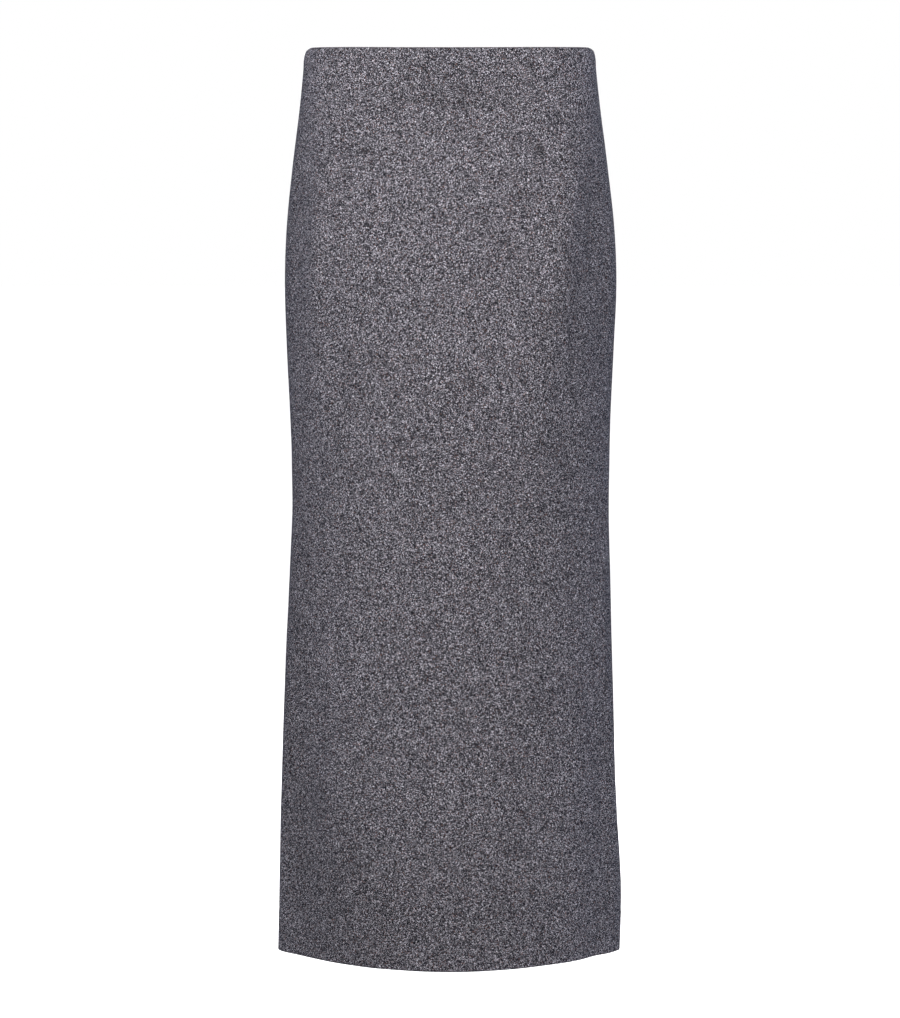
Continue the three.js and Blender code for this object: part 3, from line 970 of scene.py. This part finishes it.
def thread_material():
    """Twisted sewing thread, a shade darker than the cloth."""
    material, t, principled = new_material("Thread", 0.6, Sheen_Weight=0.2)
    ply = t.node("ShaderNodeTexWave", {"Vector": t.on_object(), "Scale": 900.0,
                                       "Distortion": 1.5},
                 bands_direction="DIAGONAL").outputs["Fac"]
    colour = t.mix_colour(ply, (0.035, 0.033, 0.04, 1), (0.075, 0.07, 0.082, 1))
    feed(t, principled, Base_Color=colour)
    bump(t, principled, ply, 0.00005)
    return material


def coil_material():
    """Moulded nylon, smooth and a little cloudy."""
    material, t, principled = new_material("Zip coil", 0.42)
    slow = t.shared("Mottle", mottle_group,
                    {"Vector": t.on_object(), "Size": 0.006, "Amount": 0.4})
    feed(t, principled, Base_Color=t.shade((0.075, 0.072, 0.084), slow["Tone"]))
    return material


def stock(name, make):
    """A material by name, made the first time it is asked for."""
    found = bpy.data.materials.get(name)
    return found if found else make()


class SKIRT_OT_front(bpy.types.Operator):
    """Makes the front panel, with its two darts and turned hem"""

    bl_idname = "skirt.front"
    bl_label = "Front panel"

    def execute(self, context):
        columns = context.scene.skirt_sizes.panel_columns
        make_panel("front_panel", -90, 90, columns)
        return {"FINISHED"}


class SKIRT_OT_backs(bpy.types.Operator):
    """Makes the left and right back panels, each with a dart and turned hem"""

    bl_idname = "skirt.backs"
    bl_label = "Back panels"

    def execute(self, context):
        columns = context.scene.skirt_sizes.panel_columns // 2
        make_panel("back_panel_left", 90, 180, columns)
        make_panel("back_panel_right", -180, -90, columns)
        return {"FINISHED"}


def back_place(x, z):
    """Points and ways out on the skin at the centre back, by distance from the seam and
    height."""
    around = 180 - np.degrees(np.arcsin(x / ring("left", z)))
    safe = np.where(np.abs(around - 180) < 0.01, 179.99, around)
    normal = outward(safe, z)
    point = skin(safe, z)
    point[..., 0] = x
    return point, normal


class SKIRT_OT_underlap(bpy.types.Operator):
    """Makes the underlap that lies inside the back vent"""

    bl_idname = "skirt.underlap"
    bl_label = "Vent underlap"

    def execute(self, context):
        cloth = context.scene.skirt_sizes.cloth / MM
        top = VENT["height"] - LENGTH - cloth / 2
        low = VENT["clear"] - LENGTH + cloth / 2
        heights = np.linspace(top, low, 60)
        columns = np.linspace(VENT["under"], -VENT["behind"], 22)

        def place(x, z):
            point, normal = back_place(x, z)
            settled = smooth(LENGTH - VENT["height"], LENGTH - UNDERLAP_IN["settle"], -z)
            deep = UNDERLAP_IN["top"] + (UNDERLAP_IN["hem"] - UNDERLAP_IN["top"]) * settled
            out = 0.25 * np.sin(z / 23 + x / 17) * np.sin(z / 41)
            return point - normal * (deep - np.minimum(out, 0))[..., None], normal

        points, caps, uv, _ = shell(columns, heights, place, lambda z: 0 * z + cloth, 4, 0)
        mesh = cloth_mesh("vent_underlap", points, caps, uv)
        made = add_piece(mesh, SKIRT_BODY, stock("Tweed", tweed_material),
                         ("vent_underlap",))
        return {"FINISHED"}


def coil_row(side, place):
    """One row of zip teeth: a helix down the tape, flattened and wide from side to side, whose
    heads reach past the middle. The other row is half a turn lower."""
    turns = int((COIL["top"] - COIL["bottom"]) / COIL["pitch"])
    steps = 10
    turn = np.arange(turns * steps) / steps
    middle = (COIL["reach"] - COIL["past"]) / 2
    swing = (COIL["reach"] + COIL["past"]) / 2
    x = side * (middle - swing * np.cos(2 * np.pi * turn))
    lower = 0.25 * (1 - side)
    z = COIL["top"] - COIL["pitch"] * (turn + lower)
    point, normal = place(x, z)
    deep = COIL["high"] / 2 * (1.15 + np.sin(2 * np.pi * turn))
    return (point - normal * deep[:, None])[None], normal[None]


def stop_bar(x, z, half, place):
    """A zip stop: a short bar clamped across the teeth."""
    across = np.linspace(x - half, x + half, 5)
    point, normal = place(across, 0 * across + z)
    return (point - normal * COIL["high"] / 2)[None], normal[None]


class SKIRT_OT_zip(bpy.types.Operator):
    """Makes the zip tape, coil and stops, and gives the slider and pull their metal"""

    bl_idname = "skirt.zip"
    bl_label = "Zip"

    def execute(self, context):
        cloth = context.scene.skirt_sizes.cloth / MM
        thick = TAPE["thick"]
        heights = np.linspace(TAPE["top"] - thick / 2, TAPE["bottom"] + thick / 2, 90)
        columns = np.linspace(TAPE["width"] / 2, -TAPE["width"] / 2, 15)

        def place(x, z):
            point, normal = back_place(x, z)
            return point - normal * (cloth + TAPE["clear"]), normal

        def tape_back(x, z):
            point, normal = place(x, z)
            return point - normal * thick, normal

        points, caps, uv, _ = shell(columns, heights, place, lambda z: 0 * z + thick, 3, 0)
        mesh = cloth_mesh("zip_tape", points, caps, uv)
        made = add_piece(mesh, SKIRT_BODY, stock("Zip tape", tape_material),
                         ("zip_tape",))
        add_threads("zip_coil", [coil_row(1, tape_back), coil_row(-1, tape_back)],
                    COIL["wire"], stock("Zip coil", coil_material), 5)
        metal = stock("Zip metal", metal_material)
        stops = [stop_bar(0, COIL["bottom"] - 1.2, 2.6, tape_back),
                 stop_bar(1.4, TAPE["top"] - 1.4, 0.9, tape_back),
                 stop_bar(-1.4, TAPE["top"] - 1.4, 0.9, tape_back)]
        add_threads("zip_stops", stops, 0.62, metal, 10)
        for name in ("zip_slider", "zip_pull"):
            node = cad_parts[name]
            node.data.materials.clear()
            node.data.materials.append(metal)
        return {"FINISHED"}


def hem_thread(place, start, end):
    """Overcasting along the top of the turned hem, inside: square waves that climb over the
    turned edge and come back."""
    waves = int((end - start) * MM_PER_DEGREE / OVERCAST["pitch"])
    climb = np.array([-4.6, -1.0, 1.2, 1.2, -1.0, -4.6])
    share = (np.arange(6)[None, :] / 6 + np.arange(waves)[:, None]) / waves
    inset = OVERCAST["inset"]
    around = start + inset + (end - start - 2 * inset) * share.reshape(-1)
    z = HEM_TURN - LENGTH + np.tile(climb, waves)
    point, normal = place(around, z)
    deep = cloth_depth(z) + OVERCAST["lift"]
    return (point - normal * deep[:, None])[None], normal[None]


def seam_thread(seam, high, low, near, far):
    """Zigzag along the inside of a seam: each pass follows the cloth over the seam, from one
    panel to the other, in turn to the left and to the right."""
    passes = int((high - low) / OVERCAST["step"])
    wide = OVERCAST["wide"] / MM_PER_DEGREE
    offsets = np.array([-1.0, -0.14, 0.14, 1.0]) * wide
    order = np.where(np.arange(passes)[:, None] % 2 == 0, offsets, offsets[::-1]).reshape(-1)
    z = np.linspace(high, low, passes * 4)
    around = seam + order
    before, way = near(np.minimum(around, seam), z)
    beyond_at = np.maximum(around, seam) if seam < 180 else np.maximum(around, 180) - 360
    beyond, other = far(beyond_at, z)
    first = (order < 0)[:, None]
    normal = np.where(first, way, other)
    deep = cloth_depth(z) + OVERCAST["lift"]
    return np.where(first, before, beyond) - normal * deep[:, None], normal


class SKIRT_OT_sewing(bpy.types.Operator):
    """Sews the zip, the top of the vent, the hem and the insides of the seams"""

    bl_idname = "skirt.sewing"
    bl_label = "Sewing"

    def execute(self, context):
        aside, top, low = ZIP_SEWING["aside"], ZIP_SEWING["top"], ZIP_SEWING["low"]
        point = ZIP_SEWING["point"]
        add_threads("zip_stitches", [
            running_stitches(LEFT_PLACE, (aside, top), (aside, low)),
            running_stitches(RIGHT_PLACE, (-aside, top), (-aside, low)),
            running_stitches(LEFT_PLACE, (aside, low), (0.6, point)),
            running_stitches(RIGHT_PLACE, (-aside, low), (-0.6, point)),
        ])
        vent = VENT["height"] - LENGTH
        add_threads("vent_stitches", [
            running_stitches(LEFT_PLACE, (1.2, vent + 7), (VENT["under"] - 2, vent - 5)),
        ])
        add_threads("hem_overcast", [
            hem_thread(FRONT_PLACE, -90, 0), hem_thread(FRONT_PLACE, 0, 90),
            hem_thread(LEFT_PLACE, 90, 180), hem_thread(RIGHT_PLACE, -180, -90)], sides=5)
        for name, thread in {
            "seam_zigzag_left": seam_thread(90, -5, -906, FRONT_PLACE, LEFT_PLACE),
            "seam_zigzag_right": seam_thread(-90, -5, -906, RIGHT_PLACE, FRONT_PLACE),
            "seam_zigzag_back": seam_thread(180, low - 8, vent + 3, LEFT_PLACE, RIGHT_PLACE),
        }.items():
            add_threads(name, [tuple(part[None] for part in thread)], sides=5)
        return {"FINISHED"}


def area_light(name, place, aim_height, size, power, colour):
    """A soft light that looks at the skirt's middle line at a height."""
    data = bpy.data.lights.new(name, "AREA")
    data.shape = "RECTANGLE"
    data.size, data.size_y = size
    data.energy = power
    data.color = colour
    lamp = bpy.data.objects.new(name, data)
    bpy.context.scene.collection.objects.link(lamp)
    lamp.location = place
    look = Vector((0, 0, aim_height)) - Vector(place)
    lamp.rotation_euler = look.to_track_quat("-Z", "Y").to_euler()


class SKIRT_OT_stage(bpy.types.Operator):
    """Sets the floor, the lights and the camera"""

    bl_idname = "skirt.stage"
    bl_label = "Stage"

    def execute(self, context):
        look = context.scene.skirt_stage
        scene = context.scene
        scene.view_settings.view_transform = "Standard"
        world = bpy.data.worlds.new("Studio")
        scene.world = world
        world.use_nodes = True
        t = Tree(world.node_tree)
        seen = t.node("ShaderNodeLightPath").outputs["Is Camera Ray"]
        strength = t.mix(seen, look.fill, 1.0)
        sky = world.node_tree.nodes["Background"]
        sky.inputs["Color"].default_value = (1, 1, 1, 1)
        t.tree.links.new(strength, sky.inputs["Strength"])

        material, t, principled = new_material("Pale floor", 0.9)
        grain = t.noise(t.on_object(), 3.0, 2.0)[0]
        colour = t.ramp(grain, [(0.0, (0.86, 0.86, 0.87)), (1.0, (0.9, 0.9, 0.9))])
        principled.inputs["Emission Color"].default_value = (1, 1, 1, 1)
        lit = t.node("ShaderNodeLightPath").outputs["Is Camera Ray"]
        feed(t, principled, Base_Color=colour, Emission_Strength=lit)
        mesh = bpy.data.meshes.new("floor")
        corners = [(x * FLOOR_SIDE, y * FLOOR_SIDE, look.floor)
                   for x, y in ((-1, -1), (1, -1), (1, 1), (-1, 1))]
        mesh.from_pydata(corners, [], [(0, 1, 2, 3)])
        mesh.materials.append(material)
        floor = bpy.data.objects.new("floor", mesh)
        scene.collection.objects.link(floor)

        area_light("key", (-0.1, -1.8, 1.0), -0.25, (0.9, 0.9), look.key, WARM_WHITE)
        area_light("side_left", (-2.2, 0.7, -0.3), -0.4, (1.0, 2.0), look.rim, COOL_BLUE)
        area_light("side_right", (2.2, 0.7, -0.3), -0.4, (1.0, 2.0), 2 * look.rim, COOL_BLUE)
        area_light("back", (0.6, 3.0, 0.6), -0.4, (2.0, 2.0), 10 * look.rim, (1.0, 1.0, 1.0))

        data = bpy.data.cameras.new("camera")
        data.lens = look.lens
        data.sensor_width = 36.0
        data.clip_end = 60
        camera = bpy.data.objects.new("camera", data)
        scene.collection.objects.link(camera)
        camera.location = (0, -look.distance, look.height)
        camera.rotation_euler = (math.pi / 2 - look.pitch, 0, 0)
        scene.camera = camera
        return {"FINISHED"}


class SKIRT_PT_panel(bpy.types.Panel):
    """Lists the skirt's sizes, colours and pieces"""

    bl_label = "Pencil skirt"
    bl_idname = "SKIRT_PT_panel"
    bl_space_type = "VIEW_3D"
    bl_region_type = "UI"
    bl_category = "Skirt"

    def draw(self, context):
        for group in (context.scene.skirt_sizes, context.scene.skirt_tweed,
                      context.scene.skirt_stage):
            box = self.layout.box()
            for name in group.bl_rna.properties.keys():
                if name not in {"rna_type", "name"}:
                    box.prop(group, name)
        for step in STEPS:
            self.layout.operator(f"skirt.{step}")


STEPS = ("stage", "front", "backs", "underlap", "zip", "sewing")
CLASSES = (SkirtSizes, TweedLook, StageLook, SKIRT_OT_stage, SKIRT_OT_front, SKIRT_OT_backs,
           SKIRT_OT_underlap, SKIRT_OT_zip, SKIRT_OT_sewing, SKIRT_PT_panel)


def register():
    for made in CLASSES:
        bpy.utils.register_class(made)
    bpy.types.Scene.skirt_sizes = bpy.props.PointerProperty(type=SkirtSizes)
    bpy.types.Scene.skirt_tweed = bpy.props.PointerProperty(type=TweedLook)
    bpy.types.Scene.skirt_stage = bpy.props.PointerProperty(type=StageLook)


def unregister():
    del bpy.types.Scene.skirt_stage
    del bpy.types.Scene.skirt_tweed
    del bpy.types.Scene.skirt_sizes
    for made in reversed(CLASSES):
        bpy.utils.unregister_class(made)


def main():
    """Builds the skirt and its stage."""
    register()
    for step in STEPS:
        getattr(bpy.ops.skirt, step)()


if __name__ == "__main__":
    main()
